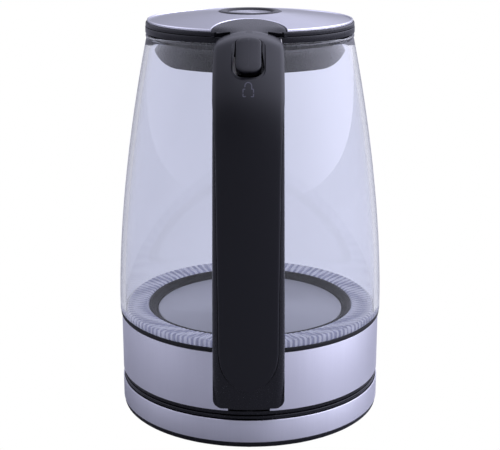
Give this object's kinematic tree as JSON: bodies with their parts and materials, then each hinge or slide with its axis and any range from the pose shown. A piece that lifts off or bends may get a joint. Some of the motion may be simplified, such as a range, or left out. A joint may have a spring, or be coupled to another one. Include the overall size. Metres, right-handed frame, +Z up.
{
  "type": "electric kettle",
  "caption": "Cordless electric kettle: clear glass jug with a steel foot band, black handle, hinged steel lid and a round steel-banded power base.",
  "frame": {"origin": "middle of the overall box in X and Y, on the surface that the four rubber feet stand on", "axes": "+Z up, -Y towards the handle, +Y towards the pouring lip, X across; the jug's own axis stands 19.2 mm to +Y of the origin"},
  "size_m": [0.1578, 0.1962, 0.2383],
  "materials": {
    "black_plastic": "moulded black polypropylene, semi-gloss",
    "satin_black_plastic": "moulded black polypropylene, satin",
    "brushed_steel": "brushed stainless steel sheet",
    "heating_steel": "fine brushed stainless steel plate",
    "screw_steel": "bright zinc plated steel",
    "filter_steel": "woven stainless steel mesh",
    "contact_brass": "plain brass contact",
    "clear_glass": "clear borosilicate glass",
    "clear_plastic": "clear moulded copolyester",
    "black_rubber": "moulded silicone rubber, matt",
    "circuit_board": "green circuit board",
    "control_brown": "moulded thermoset plastic",
    "white_plastic": "moulded acetal, matt"
  },
  "bodies": {
    "power_base": {"base_bottom_cover": "black_plastic", "base_steel_band": "brushed_steel", "base_top_plate": "black_plastic", "base_screw_1": "screw_steel", "base_screw_2": "screw_steel", "base_screw_3": "screw_steel", "base_foot_1": "black_rubber", "base_foot_2": "black_rubber", "base_foot_3": "black_rubber", "base_foot_4": "black_rubber", "base_connector": "black_plastic", "base_centre_pin": "contact_brass", "base_contact_ring": "contact_brass", "cord_gland": "black_rubber"},
    "jug": {"jug_frame": "black_plastic", "bottom_cover": "black_plastic", "bottom_screw_1": "screw_steel", "bottom_screw_2": "screw_steel", "bottom_screw_3": "screw_steel", "jug_steel_band": "brushed_steel", "glass_gasket": "black_rubber", "light_ring": "clear_plastic", "heating_plate": "heating_steel", "plate_seal": "black_rubber", "heating_element": "heating_steel", "jug_socket": "black_plastic", "control_unit": "control_brown", "light_board": "circuit_board", "glass_jug": "clear_glass", "neck_collar": "black_plastic", "filter_frame": "black_plastic", "filter_mesh": "filter_steel", "handle_cover": "satin_black_plastic", "handle_shell": "black_plastic", "handle_screw_1": "screw_steel", "handle_screw_2": "screw_steel", "handle_screw_3": "screw_steel", "hinge_pin": "screw_steel", "steam_tube": "white_plastic"},
    "lid": {"lid_frame": "black_plastic", "lid_steel_cover": "brushed_steel", "lid_badge_ring": "black_plastic", "lid_badge_disc": "brushed_steel", "lid_plug": "black_plastic", "lid_seal": "black_rubber", "lid_screw_1": "screw_steel", "lid_screw_2": "screw_steel"},
    "lid_button": {"lid_button": "satin_black_plastic"},
    "lid_latch": {"lid_latch": "white_plastic"},
    "power_switch": {"power_switch": "black_plastic"}
  },
  "joints": [
    {"name": "kettle_lift", "type": "slide", "parent": "power_base", "child": "jug", "axis": [0, 0, 1], "range_m": [0, 0.08]},
    {"name": "lid_hinge", "type": "hinge", "parent": "jug", "child": "lid", "pos_m": [0, -0.0421, 0.2291], "axis": [1, 0, 0], "range_deg": [0, 75]},
    {"name": "lid_button_press", "type": "slide", "parent": "jug", "child": "lid_button", "axis": [0, 0.63, -0.7766], "range_m": [0, 0.003], "stiffness_N_per_m": 300, "springref_m": -0.001},
    {"name": "lid_latch_slide", "type": "slide", "parent": "jug", "child": "lid_latch", "axis": [0, -1, 0], "range_m": [0, 0.003]},
    {"name": "power_switch_tilt", "type": "hinge", "parent": "jug", "child": "power_switch", "pos_m": [0, -0.0693, 0.0405], "axis": [1, 0, 0], "range_deg": [0, 10]}
  ],
  "couplings": [
    {"joint": "lid_latch_slide", "follows": "lid_button_press", "ratio": 1}
  ]
}
